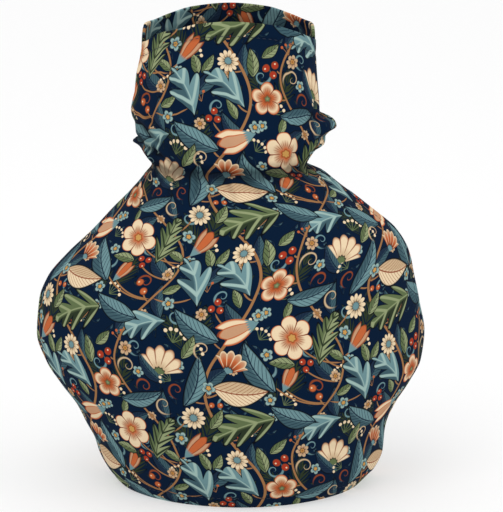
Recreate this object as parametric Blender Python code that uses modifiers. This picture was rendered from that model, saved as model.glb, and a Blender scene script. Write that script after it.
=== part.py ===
"""Tea cosy of printed, lightly wadded cotton, as it stands on its hem.

Two panels make it. Each is one cut piece, from the hem to the rim of the sleeve, and they are
sewn together beside the sleeve and the gathered neck, and again by a short seam low on each side.
Between those seams the edges of the panels stand apart as two side openings. The sleeve is open
at the top and the body is open below.

The front faces -Y and +X is to the right of someone who looks at it. Tables are in millimetres.
"""

import math

import bpy
import numpy as np

MM = 0.001

CLOTH_THICKNESS = 2.4 * MM
SEAM_GAP = 0.3 * MM
HEM_ALLOWANCE = 2.0  # the sheets start this far under the floor plane, and are trimmed flat on it
SEAM_ALLOWANCE = 2.6  # degrees by which the sheets pass the seam plane before they are trimmed

NECK_HEIGHT = 160.5
RIM_SCALE_FROM = 196.0  # above this height the rows lean towards the uneven rim
RIM_NOMINAL = 237.5

COLUMNS = 44  # faces across a panel
ROW_ZONES = (  # lowest height, highest height, rows of faces between
    (-HEM_ALLOWANCE, 28.0, 7),
    (28.0, 138.0, 14),
    (138.0, RIM_SCALE_FROM, 16),
    (RIM_SCALE_FROM, RIM_NOMINAL, 6),
)

# How far the outer face reaches at each height: to the left and right seams, to the front and to
# the back, then how far each panel's edge stands off the seam plane where the sides are open, and
# how pointed the section is at its sides (0 is an ellipse, 1 a lens).
SECTION_COLUMNS = ("height", "left", "right", "front", "back", "left_gape", "right_gape", "pinch")
SECTIONS = (
    (0.0, 56.5, 66.0, 59.5, 59.0, 0.0, 0.0, 0.10),
    (8.0, 63.5, 73.5, 65.5, 64.5, 0.0, 0.0, 0.12),
    (15.0, 67.0, 76.5, 69.5, 68.0, 0.0, 0.0, 0.15),
    (22.0, 69.0, 77.2, 71.5, 70.5, 0.0, 0.0, 0.18),
    (29.0, 72.0, 77.8, 73.0, 72.0, 3.5, 2.5, 0.22),
    (40.0, 76.5, 82.0, 75.0, 74.5, 9.0, 6.5, 0.28),
    (52.0, 84.5, 89.0, 77.0, 76.5, 12.5, 9.0, 0.32),
    (64.0, 91.5, 94.5, 77.8, 77.6, 14.5, 10.5, 0.34),
    (78.0, 96.0, 96.0, 78.0, 78.0, 15.0, 11.0, 0.35),
    (90.0, 95.0, 93.5, 77.5, 77.5, 15.0, 11.0, 0.34),
    (102.0, 90.5, 91.0, 75.0, 75.5, 14.5, 10.5, 0.32),
    (114.0, 80.5, 88.5, 71.5, 72.0, 13.5, 10.0, 0.28),
    (126.0, 68.0, 82.0, 66.0, 66.5, 11.5, 9.0, 0.22),
    (138.0, 57.5, 69.0, 58.5, 59.0, 8.0, 6.5, 0.15),
    (148.0, 48.5, 56.5, 49.0, 49.5, 3.0, 2.5, 0.08),
    (155.0, 43.5, 48.0, 41.0, 41.0, 0.0, 0.0, 0.04),
    (NECK_HEIGHT, 39.5, 38.0, 35.5, 35.5, 0.0, 0.0, 0.0),
    (167.0, 43.5, 41.0, 40.0, 39.5, 0.0, 0.0, 0.0),
    (175.0, 45.5, 43.5, 40.0, 39.5, 0.0, 0.0, 0.0),
    (188.0, 48.0, 44.0, 36.5, 36.0, 0.0, 0.0, 0.0),
    (204.0, 47.0, 43.0, 34.0, 33.5, 0.0, 0.0, 0.0),
    (220.0, 44.0, 42.0, 31.5, 31.5, 0.0, 0.0, 0.0),
    (RIM_NOMINAL, 43.0, 41.5, 30.0, 30.0, 0.0, 0.0, 0.0),
)

# The uneven rim: angle from the middle of the panel (positive towards the right seam), height.
RIM_COLUMNS = ("angle", "height")
RIMS = {
    "front": (
        (-90.0, 221.5),
        (-72.0, 223.0),
        (-52.0, 228.0),
        (-34.0, 231.0),
        (-20.0, 233.6),
        (0.0, 234.8),
        (28.0, 233.0),
        (52.0, 229.6),
        (74.0, 226.0),
        (90.0, 224.5),
    ),
    "back": (
        (-90.0, 221.5),
        (-78.0, 230.0),
        (-61.0, 230.8),
        (-46.0, 233.0),
        (-26.0, 236.0),
        (0.0, 237.4),
        (27.0, 236.0),
        (46.0, 233.0),
        (62.0, 230.8),
        (79.0, 230.0),
        (90.0, 224.5),
    ),
}

# Ridges that the gathered neck puts in the cloth: angle, half width in degrees, height, and how
# far each runs above and below the neck.
GATHER_COLUMNS = ("angle", "width", "height", "above", "below")
GATHERS = {
    "front": (
        (-68.0, 7.0, 3.2, 17.0, 14.0),
        (-48.0, 6.0, 2.8, 13.0, 25.0),
        (-31.0, 5.5, 4.0, 22.0, 16.0),
        (-12.0, 6.0, 2.6, 12.0, 28.0),
        (6.0, 5.5, 4.2, 25.0, 18.0),
        (23.0, 6.0, 2.7, 13.0, 30.0),
        (41.0, 5.5, 4.1, 23.0, 15.0),
        (60.0, 6.5, 3.1, 17.0, 24.0),
    ),
    "back": (
        (-65.0, 6.5, 3.0, 15.0, 22.0),
        (-45.0, 5.5, 4.0, 23.0, 15.0),
        (-26.0, 6.0, 2.7, 14.0, 29.0),
        (-8.0, 5.5, 3.9, 21.0, 19.0),
        (10.0, 6.0, 2.6, 12.0, 27.0),
        (29.0, 5.5, 4.0, 24.0, 16.0),
        (48.0, 6.0, 3.0, 15.0, 25.0),
        (67.0, 7.0, 3.3, 18.0, 14.0),
    ),
}

GATHER_AT_ELASTIC = 0.35  # share of a ridge's height that is left where the elastic holds the cloth
GATHER_RISE = 2.6
GATHER_FALL = 2.2
GATHER_VALLEY = 0.45  # share of a ridge's height by which the cloth round about sinks
GATHER_SPREAD = 2.2  # how much wider than the ridge that sunken stretch is
GATHER_SEAM_MARGIN = 13.0  # degrees from a seam within which the gathers fade out

# Over an open side the front panel's shoulder stands higher than the back panel's, and the back
# panel is tucked in a little behind it. Both are shares of how far the edges gape.
SHOULDER_LIFT = 0.29
SHOULDER_FROM = 78.0
SHOULDER_RUN = 20.0
BACK_TUCK = 0.1

# Puckers of loose cloth at the side seams: angle of the seam, height, how far each stands out,
# how far it runs above and below, and its half width in degrees.
PUCKER_COLUMNS = ("angle", "height", "reach", "above", "below", "width")
PUCKERS = (
    (90.0, 181.0, 8.6, 2.9, 7.0, 20.0),
    (-90.0, 191.0, 1.4, 5.0, 4.0, 26.0),
    (-90.0, 171.8, 3.4, 2.6, 3.2, 16.0),
)


def level_slopes(places, values):
    """Slope at each row of a table, zero where its values turn back, so that the curve through
    them never swings past a row."""
    rises = np.diff(values) / np.diff(places)
    slopes = np.empty(len(values))
    slopes[0] = rises[0]
    slopes[-1] = rises[-1]
    for row in range(1, len(values) - 1):
        below, above = rises[row - 1], rises[row]
        slopes[row] = 2 * below * above / (below + above) if below * above > 0 else 0.0
    return slopes


def curve_through(table, columns, name, at):
    """Value of a table's named column at a place along its first column, on a smooth curve."""
    places = np.array([row[0] for row in table])
    values = np.array([row[columns.index(name)] for row in table])
    slopes = level_slopes(places, values)
    if at <= places[0]:
        return values[0] + slopes[0] * (at - places[0])
    if at >= places[-1]:
        return values[-1] + slopes[-1] * (at - places[-1])
    upper = int(np.searchsorted(places, at, side="right"))
    lower = upper - 1
    span = places[upper] - places[lower]
    t = (at - places[lower]) / span
    return (
        (1 + 2 * t) * (1 - t) ** 2 * values[lower]
        + t * (1 - t) ** 2 * span * slopes[lower]
        + t * t * (3 - 2 * t) * values[upper]
        - t * t * (1 - t) * span * slopes[upper]
    )


def section_at(height):
    """All columns of the section table at one height."""
    return {name: curve_through(SECTIONS, SECTION_COLUMNS, name, height) for name in SECTION_COLUMNS[1:]}


def reach_at(side, edge, height):
    """How far a panel's left or right edge stands out at one height."""
    gape = max(0.0, curve_through(SECTIONS, SECTION_COLUMNS, f"{edge}_gape", height))
    if side == "back":
        return curve_through(SECTIONS, SECTION_COLUMNS, edge, height) - BACK_TUCK * gape
    lift = SHOULDER_LIFT * gape * max(0.0, min(1.0, (height - SHOULDER_FROM) / SHOULDER_RUN))
    return curve_through(SECTIONS, SECTION_COLUMNS, edge, height - lift)


def bell(distance, width):
    return math.exp(-0.5 * (distance / width) ** 2)


def gather_profile(away):
    """How high a gather's ridge stands, as a share of its height, against the distance from the
    neck as a share of its run: low under the elastic, full a little away from it, then gone."""
    return (GATHER_AT_ELASTIC + GATHER_RISE * away) * math.exp(-GATHER_FALL * away * away)


def gather_swell(side, angle, height):
    """Outward push of a panel's gathers, and inward in the valleys between them."""
    push = 0.0
    for row in GATHERS[side]:
        gather = dict(zip(GATHER_COLUMNS, row))
        run = gather["above"] if height > NECK_HEIGHT else gather["below"]
        along = gather_profile(abs(height - NECK_HEIGHT) / run)
        aside = angle - gather["angle"]
        ridge = bell(aside, gather["width"]) - GATHER_VALLEY * bell(aside, GATHER_SPREAD * gather["width"])
        push += gather["height"] * along * ridge
    return push * (1 - bell(90.0 - abs(angle), GATHER_SEAM_MARGIN))


def pucker_swell(angle, height):
    """Outward push of the loose puckers at the side seams."""
    push = 0.0
    for row in PUCKERS:
        pucker = dict(zip(PUCKER_COLUMNS, row))
        run = pucker["above"] if height > pucker["height"] else pucker["below"]
        push += pucker["reach"] * bell(height - pucker["height"], run) * bell(angle - pucker["angle"], pucker["width"])
    return push


def cloth_point(side, angle, height):
    """Point of a panel's outer face, in metres. The angle is from the middle of the panel, and
    is positive towards the right seam, as seen from the front."""
    section = section_at(height)
    turn = math.radians(angle)
    left, right = reach_at(side, "left", height), reach_at(side, "right", height)
    middle = (right - left) / 2
    half_width = (right + left) / 2
    towards_right = (1 + math.sin(turn)) / 2
    gape = max(0.0, section["left_gape"] * (1 - towards_right) + section["right_gape"] * towards_right)
    roundness = math.cos(turn)
    fullness = roundness * (1 - section["pinch"] + section["pinch"] * abs(roundness))
    depth = gape + (section[side] - gape) * fullness
    swell = gather_swell(side, angle, height) + pucker_swell(angle, height)
    x = middle + (half_width + swell) * math.sin(turn)
    y = depth + swell * roundness
    facing = -1 if side == "front" else 1
    return (x * MM, facing * y * MM, height * MM)


def row_heights():
    heights = [ROW_ZONES[0][0]]
    for lowest, highest, rows in ROW_ZONES:
        heights += [lowest + (highest - lowest) * (row + 1) / rows for row in range(rows)]
    return heights


def height_on_rim_scale(side, angle, nominal):
    """Rows above RIM_SCALE_FROM spread evenly up to the uneven rim."""
    if nominal <= RIM_SCALE_FROM:
        return nominal
    rim = curve_through(RIMS[side], RIM_COLUMNS, "height", max(-90.0, min(90.0, angle)))
    return RIM_SCALE_FROM + (nominal - RIM_SCALE_FROM) * (rim - RIM_SCALE_FROM) / (RIM_NOMINAL - RIM_SCALE_FROM)


def new_material(name, colour, roughness):
    material = bpy.data.materials.new(name)
    material.use_nodes = True
    shader = material.node_tree.nodes["Principled BSDF"]
    shader.inputs["Base Color"].default_value = (*colour, 1.0)
    shader.inputs["Roughness"].default_value = roughness
    shader.inputs["Metallic"].default_value = 0.0
    return material


def move_to(obj, collection):
    for old in list(obj.users_collection):
        old.objects.unlink(obj)
    collection.objects.link(obj)


def half_space(side, cutters):
    """Box that holds everything above the floor plane on one side of the seam plane."""
    reach = 0.4
    bpy.ops.mesh.primitive_cube_add(size=reach)
    box = bpy.context.object
    box.name = f"{side}_trim"
    facing = -1 if side == "front" else 1
    box.location = (0, facing * (SEAM_GAP + reach) / 2, reach / 2)
    box.hide_render = True
    box.display_type = "WIRE"
    move_to(box, cutters)
    return box


def make_panel(side, material, parts, cutters):
    """One panel: a flat grid laid onto the cloth's outer face, thickened inwards, then trimmed
    flat at the floor and at the seams."""
    heights = row_heights()
    rows = len(heights) - 1
    bpy.ops.mesh.primitive_grid_add(x_subdivisions=COLUMNS, y_subdivisions=rows, size=2)
    panel = bpy.context.object
    panel.name = f"{side}_panel"
    panel.data.name = panel.name
    handed = 1 if side == "front" else -1
    for vertex in panel.data.vertices:
        angle = handed * vertex.co.x * (90.0 + SEAM_ALLOWANCE)
        nominal = heights[round((vertex.co.y + 1) / 2 * rows)]
        vertex.co = cloth_point(side, angle, height_on_rim_scale(side, angle, nominal))
    panel.data.materials.append(material)
    panel.data.shade_smooth()
    move_to(panel, parts)

    wall = panel.modifiers.new("Cloth thickness", "SOLIDIFY")
    wall.thickness = CLOTH_THICKNESS
    wall.offset = -1
    wall.use_even_offset = True

    trim = panel.modifiers.new("Trim at floor and seams", "BOOLEAN")
    trim.operation = "INTERSECT"
    trim.object = half_space(side, cutters)
    return panel


def main():
    for obj in list(bpy.data.objects):
        bpy.data.objects.remove(obj, do_unlink=True)
    parts = bpy.data.collections.new("Tea cosy")
    cutters = bpy.data.collections.new("Trimming boxes")
    for collection in (parts, cutters):
        bpy.context.scene.collection.children.link(collection)
    front_cotton = new_material("Front cotton", (0.070, 0.078, 0.074), 0.85)
    back_cotton = new_material("Back cotton", (0.062, 0.070, 0.068), 0.85)
    make_panel("front", front_cotton, parts, cutters)
    make_panel("back", back_cotton, parts, cutters)


main()
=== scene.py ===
"""Looks of a fitted tea cosy in printed cotton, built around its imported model.

Two panels of cloth replace the two plain solids. They follow the same sections, with finer
gathers, seams and turned edges, and carry a floral print that follows the cloth. Rows of stitches
hold their edges. The tables and the cloth's own points are in millimetres, and all that Blender
gets is in metres.
"""

import math

import bpy
import numpy as np
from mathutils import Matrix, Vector


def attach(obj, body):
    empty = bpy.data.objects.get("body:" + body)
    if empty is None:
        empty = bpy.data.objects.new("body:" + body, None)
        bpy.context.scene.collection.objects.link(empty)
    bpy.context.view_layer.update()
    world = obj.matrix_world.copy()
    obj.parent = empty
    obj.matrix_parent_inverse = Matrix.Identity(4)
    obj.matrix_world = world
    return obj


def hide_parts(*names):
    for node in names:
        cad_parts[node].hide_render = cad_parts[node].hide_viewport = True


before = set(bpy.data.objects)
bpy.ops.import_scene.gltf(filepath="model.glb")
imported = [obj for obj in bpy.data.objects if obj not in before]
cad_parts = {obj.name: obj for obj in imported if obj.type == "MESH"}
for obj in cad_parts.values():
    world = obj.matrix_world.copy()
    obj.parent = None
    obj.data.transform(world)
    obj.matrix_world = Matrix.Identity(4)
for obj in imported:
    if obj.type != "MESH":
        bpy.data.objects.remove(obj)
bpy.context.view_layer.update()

bl_info = {
    "name": "Tea Cosy",
    "version": (1, 0, 0),
    "blender": (4, 5, 0),
    "location": "View3D > Sidebar > Tea Cosy",
    "description": "Makes a gathered, printed tea cosy with its stitches and a plain stage",
    "category": "Add Mesh",
}

MM = 0.001


def named_rows(table, columns):
    """The rows of a table, each as a dictionary by column."""
    return [dict(zip(columns, row)) for row in table]


# --- Shader maths ---------------------------------------------------------------------------


class Value:
    """A socket of a shader tree. Maths on it, written as an expression, adds Math nodes."""

    def __init__(self, tree, socket):
        self.tree = tree
        self.socket = socket

    def math(self, operation, *others):
        return self.tree.add("ShaderNodeMath", {"operation": operation}, [self, *others])

    def __add__(self, other):
        return self.math("ADD", other)

    __radd__ = __add__

    def __mul__(self, other):
        return self.math("MULTIPLY", other)

    __rmul__ = __mul__

    def __sub__(self, other):
        return self.math("SUBTRACT", other)

    def __rsub__(self, other):
        return self.tree.add("ShaderNodeMath", {"operation": "SUBTRACT"}, [other, self])

    def __truediv__(self, other):
        return self.math("DIVIDE", other)

    def __pow__(self, other):
        return self.math("POWER", other)

    def __abs__(self):
        return self.math("ABSOLUTE")

    def sin(self):
        return self.math("SINE")

    def cos(self):
        return self.math("COSINE")

    def scaled(self, factor, offset=0.0):
        """self * factor + offset in one node."""
        return self.math("MULTIPLY_ADD", factor, offset)

    def mask(self, sharpness):
        """0 where self is below zero, rising to 1 over a soft edge 1 / sharpness wide."""
        return self.tree.add("ShaderNodeClamp", None, [self.scaled(sharpness), 0.0, 1.0])


class ShaderTree:
    """Adds nodes to the tree of a material or a shader group."""

    def __init__(self, tree):
        self.tree = tree
        self.nodes = tree.nodes
        self.links = tree.links
        self.nodes.clear()

    def add(self, kind, settings=None, inputs=None, output=0):
        """Adds a node, applies its settings, then fills or links its inputs, which are a list in
        socket order or a dictionary by socket name or identifier. Returns one output, or the
        node itself if it has none."""
        node = self.nodes.new(kind)
        for name, setting in (settings or {}).items():
            if name == "stops":
                self.set_stops(node.color_ramp, setting)
            else:
                setattr(node, name, setting)
        pairs = inputs.items() if isinstance(inputs, dict) else enumerate(inputs or [])
        for key, value in pairs:
            self.fill(self.find(node.inputs, key), value)
        return Value(self, self.find(node.outputs, output)) if node.outputs else node

    @staticmethod
    def find(sockets, key):
        if isinstance(key, int):
            return sockets[key]
        for socket in sockets:
            if socket.identifier == key:
                return socket
        return sockets[key]

    def fill(self, socket, value):
        if isinstance(value, Value):
            self.links.new(value.socket, socket)
        elif socket.type == "RGBA" and len(value) == 3:
            socket.default_value = (*value, 1.0)
        else:
            socket.default_value = value

    @staticmethod
    def set_stops(ramp, stops):
        """Gives a colour ramp its stops, from the lowest to the highest."""
        first, *between, last = stops
        for element, (place, colour) in zip(list(ramp.elements), (first, last)):
            element.position = place
            element.color = (*colour, 1.0)
        for place, colour in between:
            ramp.elements.new(place).color = (*colour, 1.0)

    def mix(self, mask, below, above):
        """One colour over another. The node holds the mask between 0 and 1."""
        inputs = {"Factor_Float": mask, "A_Color": below, "B_Color": above}
        return self.add("ShaderNodeMix", {"data_type": "RGBA"}, inputs, "Result_Color")

    def ramp(self, value, stops):
        return self.add("ShaderNodeValToRGB", {"stops": stops}, [value], "Color")

    def vector(self, operation, *values, output="Vector"):
        return self.add("ShaderNodeVectorMath", {"operation": operation}, list(values), output)

    def dot(self, place, direction):
        return self.vector("DOT_PRODUCT", place, direction, output="Value")

    def surface(self, looks):
        """Ends a material's tree in a Principled shader, whose sockets get what looks holds."""
        shader = self.add("ShaderNodeBsdfPrincipled", None, looks)
        self.add("ShaderNodeOutputMaterial", None, [shader])


def new_material(name):
    material = bpy.data.materials.new(name)
    material.use_nodes = True
    return material, ShaderTree(material.node_tree)


def srgb(red, green, blue):
    """Linear colour of an 8-bit screen colour."""

    def linear(part):
        part /= 255
        return part / 12.92 if part <= 0.04045 else ((part + 0.055) / 1.055) ** 2.4

    return (linear(red), linear(green), linear(blue))


# --- The print ------------------------------------------------------------------------------

NAVY = srgb(3, 23, 46)
INK = srgb(5, 9, 18)
SHADE_BLUE = srgb(25, 41, 60)
TEAL_DARK = srgb(58, 84, 92)
TEAL = srgb(100, 132, 136)
TEAL_LIGHT = srgb(146, 172, 166)
OLIVE_DARK = srgb(40, 50, 34)
OLIVE = srgb(88, 102, 68)
OLIVE_LIGHT = srgb(134, 144, 106)
CREAM = srgb(218, 196, 162)
SAND = srgb(188, 162, 128)
PEACH = srgb(182, 139, 107)
CORAL = srgb(178, 92, 52)
RUST = srgb(128, 62, 34)
BERRY = srgb(158, 50, 32)
OCHRE = srgb(186, 140, 76)
BARK = srgb(146, 104, 66)

REPEAT_WIDTH = 86.0
REPEAT_HEIGHT = 104.0
FILL_SHARE = 0.5  # size of the fillers' own repeat, as a share of the whole one,
GROUND_SHARE = 0.25  # and of the one of the ground's leaves
EDGE_SOFTNESS = 0.16  # how wide a printed edge fades, in mm
LEAF_SPREAD = 0.9  # how far the print of a leaf spreads past its form, in softened edges,
BUD_SPREAD = 0.5  # and that of a bud
UNWRAPPED = 1e6  # a range so wide that a direction doesn't repeat

# Colours of the flowers from the middle outwards, each with its share of the radius.
ROSE = (
    (0.0, OCHRE), (0.15, OCHRE), (0.19, RUST), (0.24, CORAL), (0.4, PEACH), (0.66, CREAM),
    (0.92, CREAM), (0.97, CORAL), (1.0, INK),
)
BLUSH = (
    (0.0, OLIVE_LIGHT), (0.13, OLIVE), (0.2, RUST), (0.36, CORAL), (0.6, PEACH), (0.8, CREAM),
    (0.95, CORAL), (1.0, INK),
)
DAISY = (
    (0.0, TEAL), (0.3, TEAL), (0.36, INK), (0.42, SAND), (0.7, CREAM), (0.93, CREAM), (1.0, INK),
)
STAR = ((0.0, OCHRE), (0.3, OCHRE), (0.38, INK), (0.46, TEAL), (0.8, TEAL_LIGHT), (1.0, INK))
ASTER = ((0.0, RUST), (0.28, OCHRE), (0.36, INK), (0.45, PEACH), (0.85, SAND), (1.0, INK))
THISTLE = (
    (0.0, TEAL), (0.26, TEAL), (0.3, INK), (0.34, RUST), (0.62, CORAL), (0.88, PEACH),
    (0.97, CREAM), (1.0, INK),
)
FEATHER = (
    (0.0, OLIVE), (0.22, OLIVE), (0.26, INK), (0.3, SAND), (0.55, CREAM), (0.86, CREAM),
    (0.95, PEACH), (1.0, INK),
)

# In the functions below, along and across are a point's place in a motif, in units of the motif's
# size, and the numbers are widths and places in that unit, or how sharp a soft edge is. Those that
# draw a motif give how far inside it the point lies, in softened edges, and its colour.


def length(along, across):
    """How far a point lies from the motif's middle."""
    return (along * along + across * across).math("SQRT")


def bearing(along, across):
    """In which direction it lies from there."""
    return across.math("ARCTAN2", along)


def leaf_colour(tree, side, off, edge, ribs, midrib, outline, colours):
    """A leaf's colour: darker on one side, with ribs, a midrib and a dark outline."""
    base, shade, vein = colours
    colour = tree.mix(side.scaled(12), base, shade)
    colour = tree.mix(ribs.math("MAXIMUM", (midrib - off).scaled(40)), colour, vein)
    return tree.mix(edge.scaled(-24, outline), colour, INK)


def leaf(
    tree, along, across, sharpness, plump=0.34, bend=0.0, veins=4.5, colours=(TEAL, TEAL_DARK, NAVY)
):
    """A pointed leaf with slanting veins."""
    reach = 1 - along * along
    side = across + reach * bend
    off = abs(side)
    edge = reach * (along * -0.3 + 1).math("MAXIMUM", 0.2) * plump - off
    line = (along * veins - off * (veins * 1.5)).math("FRACT")
    ribs = (line - 0.78).mask(6) * (edge - 0.03).mask(20)
    colour = leaf_colour(tree, side, off, edge, ribs, 0.035, 1.6, colours)
    return edge * sharpness + LEAF_SPREAD, colour


def lobed_leaf(
    tree, along, across, sharpness, plump=0.62, bend=0.0, lobes=3.4,
    colours=(OLIVE, OLIVE_DARK, OLIVE_LIGHT),
):
    """A broad leaf cut into lobes that lean to its tip."""
    reach = 1 - along * along
    side = across + reach * bend
    off = abs(side)
    wave = abs((along * (lobes * 1.5) - off * (lobes * 2.2) + 0.6).sin())
    edge = reach * (wave * 0.72 + 0.28) * plump - off
    ribs = (wave - 0.9).scaled(14)
    colour = leaf_colour(tree, side, off, edge, ribs, 0.03, 1.7, colours)
    return edge * sharpness + LEAF_SPREAD, colour


def rosette(
    tree, along, across, sharpness, petals=6, waist=0.66, stops=ROSE, streaks=5, line=RUST
):
    """An open flower seen from above. Its petals are lobes of the radius, and its colours run
    from the middle outwards."""
    angle = bearing(along, across)
    lobe = abs((angle * (petals / 2)).sin())
    share = length(along, across) / (lobe**0.6 * (1 - waist) + waist)
    colour = tree.ramp(share, stops)
    between = (0.16 - lobe).mask(14) * (share - 0.3).mask(12)
    colour = tree.mix(between, colour, line)
    rays = ((angle * (petals * streaks)).sin() - 0.4).mask(3)
    rays = rays * (share - 0.3).mask(10) * (0.66 - share).mask(5)
    colour = tree.mix(rays * 0.7, colour, line)
    return (1 - share) * sharpness, colour


def fan_flower(
    tree, along, across, sharpness, spread=1.05, teeth=9.0, stops=THISTLE, line=CREAM
):
    """A flower seen from the side: a fan of narrow petals on a short cup."""
    angle = bearing(along, across)
    tooth = abs((angle * teeth).sin())
    share = length(along, across) / (tooth * 0.16 + 0.84 - angle * angle * 0.12)
    colour = tree.ramp(share, stops)
    rays = (0.34 - tooth).mask(5) * (share - 0.34).mask(8)
    colour = tree.mix(rays * 0.8, colour, line)
    inside = ((1 - share) * sharpness).math("MINIMUM", (spread - abs(angle)).scaled(20))
    return inside, colour


def bud(tree, along, across, sharpness, plump=0.5, colours=(PEACH, CREAM, CORAL)):
    """A closed three-petalled flower on a green cup."""
    heart, side_petal, line = colours
    along = tree.add("ShaderNodeClamp", None, [along, -1.0, 1.0])
    off = abs(across)
    swell = (along * 1.3 + 1.1).sin() * plump
    tips = along - 0.62 - abs((off * 7.5).cos()) * 0.26
    edge = (swell - off).math("MINIMUM", tips * -1)
    share = off / swell
    colour = tree.mix((share - 0.42).scaled(14), heart, side_petal)
    seam = (0.07 - abs(share - 0.44)).scaled(20).math("MAXIMUM", edge.scaled(-16, 1.5))
    colour = tree.mix(seam, colour, line)
    cup = (abs((share * 9).sin()) * 0.14 - 0.42 - along).scaled(14)
    colour = tree.mix(cup, colour, TEAL)
    return edge * sharpness + BUD_SPREAD, colour


def berries(tree, along, across, sharpness, count=3, size=0.42, colours=(BERRY, RUST, CREAM)):
    """A cluster of round berries about one point, each with a bright spot."""
    base, shade, spot = colours
    radius = length(along, across)
    sector = math.pi / count
    angle = bearing(along, across).math("WRAP", sector, -sector)
    out = radius * angle.cos() - 0.56
    aside = radius * angle.sin()
    share = length(out, aside) * (1 / size)
    colour = tree.ramp(share, ((0.0, base), (0.62, base), (0.86, shade), (1.0, INK)))
    glint = (out - 0.1) * (out - 0.1) + (aside - 0.08) * (aside - 0.08)
    colour = tree.mix(glint.scaled(-120, 1.44), colour, spot)
    return (1 - share) * sharpness * size, colour


def curl(tree, along, across, sharpness, tightness=0.62, width=0.2, colour=SAND):
    """A tendril that winds in on itself."""
    radius = length(along, across)
    turns = radius.math("LOGARITHM", math.e) * tightness
    turns = turns - bearing(along, across) * (1 / (2 * math.pi))
    line = (width / 2 - abs(turns.math("FRACT") - 0.5)).mask(14)
    return line * (1 - radius).mask(8) * (radius - 0.12).mask(12), colour


def spray(tree, along, across, sharpness, rays=5, spread=1.05, stalk=OLIVE, tip=CREAM):
    """Thin stalks that fan out from one point, each with a round tip."""
    angle = bearing(along, across)
    sector = spread / rays
    radius = length(along, across)
    within = (angle + (0.0 if rays % 2 else sector)).math("WRAP", sector, -sector)
    out, aside = radius * within.cos(), abs(radius * within.sin())
    line = ((0.035 - aside) * sharpness).math("MINIMUM", (0.78 - out).scaled(20))
    knob = (0.13 - length(out - 0.84, aside)) * sharpness
    colour = tree.mix((out - 0.7).scaled(20), stalk, tip)
    return line.math("MAXIMUM", knob).math("MINIMUM", (spread - abs(angle)).scaled(20)), colour


def branch(tree, along, across, sharpness, bend=0.22, width=0.45, colour=BARK):
    """A thin tapering line, bowed sideways."""
    reach = 1 - along * along
    half = reach.math("MINIMUM", 0.5) * (2 * width / EDGE_SOFTNESS)
    return half - abs(across + reach * bend) * sharpness, colour


# Each style of motif: the function that draws it, and how it differs from the plain one.
STYLES = {
    "rose": (rosette, {"petals": 6, "waist": 0.68, "stops": ROSE}),
    "blush": (rosette, {"petals": 5, "waist": 0.62, "stops": BLUSH}),
    "daisy": (rosette, {"petals": 12, "waist": 0.6, "stops": DAISY, "streaks": 1, "line": INK}),
    "star": (rosette, {"petals": 5, "waist": 0.5, "stops": STAR, "streaks": 1, "line": INK}),
    "aster": (rosette, {"petals": 7, "waist": 0.6, "stops": ASTER, "streaks": 1, "line": INK}),
    "thistle": (fan_flower, {"spread": 0.95, "teeth": 8.0, "stops": THISTLE, "line": CREAM}),
    "feather": (fan_flower, {"spread": 1.1, "teeth": 7.0, "stops": FEATHER, "line": RUST}),
    "bud": (bud, {}),
    "dusky_bud": (bud, {"colours": (CORAL, PEACH, RUST), "plump": 0.44}),
    "berries": (berries, {}),
    "paired_berries": (berries, {"count": 2, "colours": (CORAL, RUST, CREAM)}),
    "oak": (lobed_leaf, {"bend": 0.12}),
    "fern": (
        lobed_leaf,
        {"lobes": 4.4, "plump": 0.5, "colours": (OLIVE_LIGHT, OLIVE, OLIVE_DARK), "bend": -0.15},
    ),
    "acanthus": (lobed_leaf, {"lobes": 2.6, "colours": (TEAL, TEAL_DARK, TEAL_LIGHT), "bend": 0.2}),
    "shadow_fern": (
        lobed_leaf,
        {"lobes": 4.0, "plump": 0.6, "colours": (OLIVE_DARK, OLIVE_DARK, NAVY), "bend": 0.2},
    ),
    "shadow_leaf": (leaf, {"bend": -0.2, "plump": 0.4, "colours": (TEAL_DARK, SHADE_BLUE, NAVY)}),
    "sprig": (
        leaf, {"bend": 0.3, "plump": 0.32, "colours": (TEAL_DARK, SHADE_BLUE, NAVY), "veins": 0.1}
    ),
    "green_sprig": (
        leaf, {"bend": -0.3, "plump": 0.32, "colours": (OLIVE_DARK, SHADE_BLUE, NAVY), "veins": 0.1}
    ),
    "willow": (leaf, {"bend": 0.22}),
    "laurel": (leaf, {"bend": -0.2, "plump": 0.4}),
    "pale_leaf": (
        leaf, {"bend": 0.18, "plump": 0.46, "colours": (CREAM, SAND, RUST), "veins": 5.5}
    ),
    "leaflet": (
        leaf, {"bend": 0.1, "plump": 0.42, "colours": (OLIVE_LIGHT, OLIVE, INK), "veins": 2.5}
    ),
    "curl": (curl, {}),
    "rust_curl": (curl, {"colour": RUST, "width": 0.24}),
    "teal_curl": (curl, {"colour": TEAL, "width": 0.26}),
    "spray": (spray, {}),
    "berry_spray": (spray, {"rays": 3, "spread": 0.8, "stalk": BARK, "tip": CORAL}),
    "branch": (branch, {}),
}

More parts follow.
